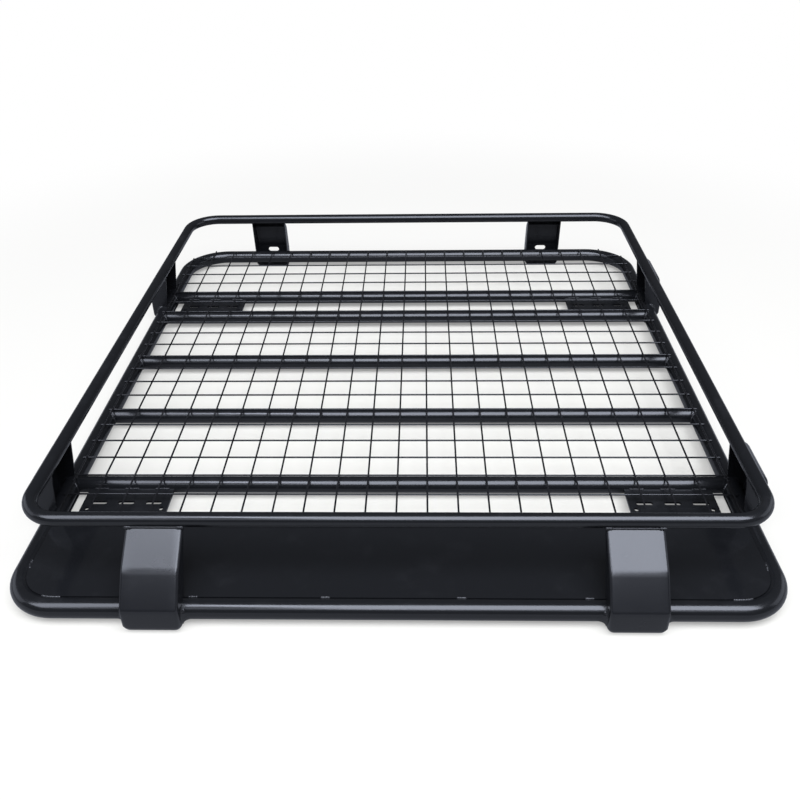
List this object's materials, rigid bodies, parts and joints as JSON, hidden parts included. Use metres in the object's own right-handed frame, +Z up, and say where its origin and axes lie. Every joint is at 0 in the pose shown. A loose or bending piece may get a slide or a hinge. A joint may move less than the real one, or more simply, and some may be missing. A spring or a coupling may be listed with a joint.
{
  "type": "roof basket",
  "caption": "Rectangular tube-frame roof cargo basket with a wire mesh floor, raised perimeter rail, pressed stanchions, slotted mount plates and a sheet wind deflector.",
  "frame": {"origin": "centre of the bounding box in plan, on the floor under the eight stanchion feet", "axes": "+Z up, -Y towards the front with the wind deflector, +X to the right seen from the front"},
  "size_m": [1.182, 1.286, 0.143],
  "materials": {
    "frame_tube": "satin-gloss black powder coat on round steel tube",
    "rail_tube": "satin-gloss black powder coat on round steel tube",
    "crossbar_tube": "satin-gloss black powder coat on round steel tube",
    "mesh_wire": "black powder coat on welded wire",
    "deflector_sheet": "smooth gloss black powder coat on sheet steel",
    "plate_steel": "satin black powder coat on flat steel",
    "stanchion_sheet": "satin-gloss black powder coat on pressed steel"
  },
  "bodies": {
    "root": {"base_front_bend": "frame_tube", "base_rear_bend": "frame_tube", "base_side_left": "frame_tube", "base_side_right": "frame_tube", "rail_front_bend": "rail_tube", "rail_rear_bend": "rail_tube", "rail_side_left": "rail_tube", "rail_side_right": "rail_tube", "crossbar_1": "crossbar_tube", "crossbar_2": "crossbar_tube", "crossbar_3": "crossbar_tube", "crossbar_4": "crossbar_tube", "crossbar_5": "crossbar_tube", "crossbar_6": "crossbar_tube", "mesh_front": "mesh_wire", "mesh_middle": "mesh_wire", "mesh_rear": "mesh_wire", "wind_deflector": "deflector_sheet", "mount_plate_front_left": "plate_steel", "mount_plate_front_right": "plate_steel", "mount_plate_rear_left": "plate_steel", "mount_plate_rear_right": "plate_steel", "stanchion_front_left": "stanchion_sheet", "stanchion_front_right": "stanchion_sheet", "stanchion_rear_left": "stanchion_sheet", "stanchion_rear_right": "stanchion_sheet", "stanchion_left_front": "stanchion_sheet", "stanchion_left_rear": "stanchion_sheet", "stanchion_right_front": "stanchion_sheet", "stanchion_right_rear": "stanchion_sheet"}
  },
  "joints": []
}
